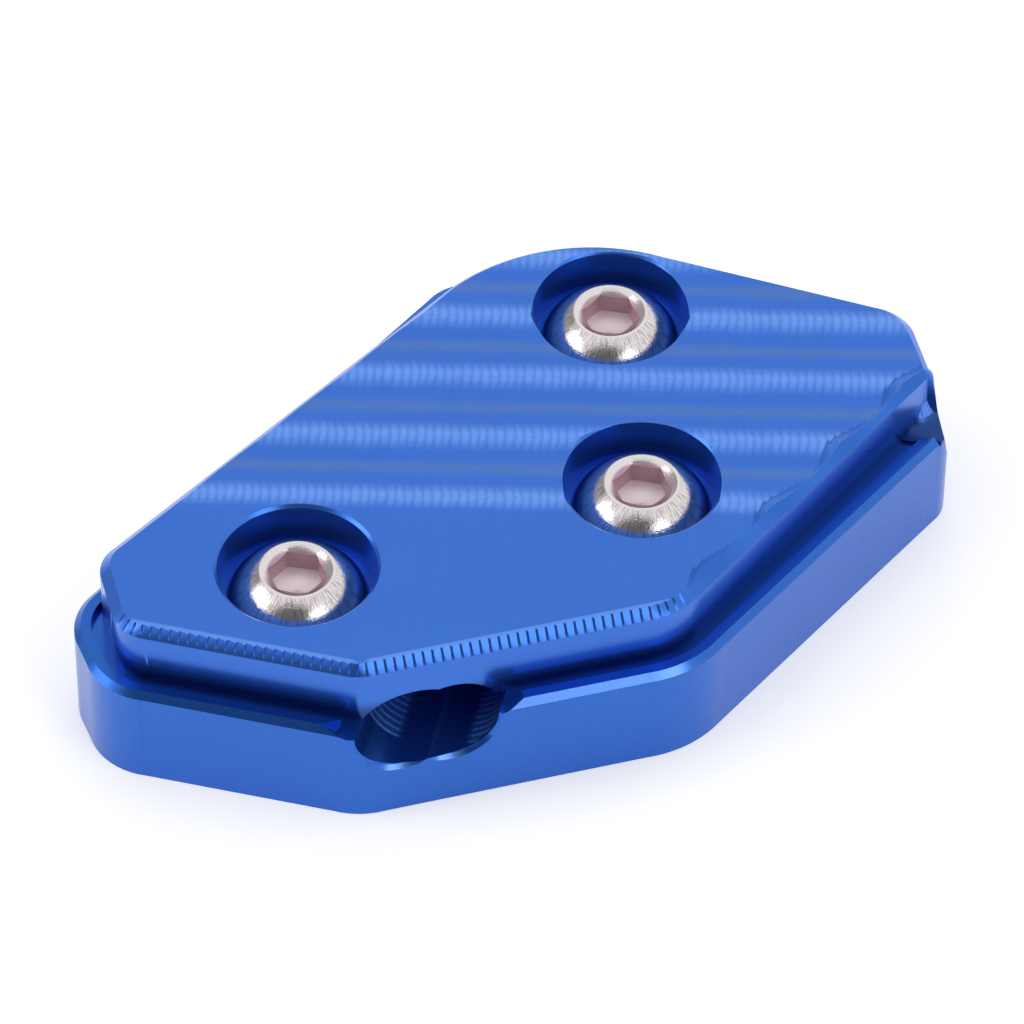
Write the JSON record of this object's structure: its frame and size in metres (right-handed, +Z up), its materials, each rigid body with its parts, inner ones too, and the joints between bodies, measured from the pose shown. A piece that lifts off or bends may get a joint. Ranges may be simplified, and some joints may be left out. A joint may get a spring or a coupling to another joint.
{
  "type": "kickstand foot enlarger",
  "caption": "Two milled plates that clamp round the foot of a motorcycle side stand and widen its footprint, held by recessed button-head screws",
  "frame": {"origin": "middle of the plan's outer box, on the underside of the base plate that stands on the ground", "axes": "+Z is up out of the top face, +X runs along the long direction to the right corner, +Y points to the rear, away from the mouth for the stand's foot"},
  "size_m": [0.0856, 0.0656, 0.0178],
  "materials": {
    "blue_anodised_base": "blue anodised, milled",
    "blue_anodised_top": "blue anodised, wave-milled and brushed",
    "bright_steel": "bright turned stainless steel"
  },
  "bodies": {
    "root": {"base_plate": "blue_anodised_base", "top_plate": "blue_anodised_top", "clamp_screws": "bright_steel"}
  },
  "joints": []
}
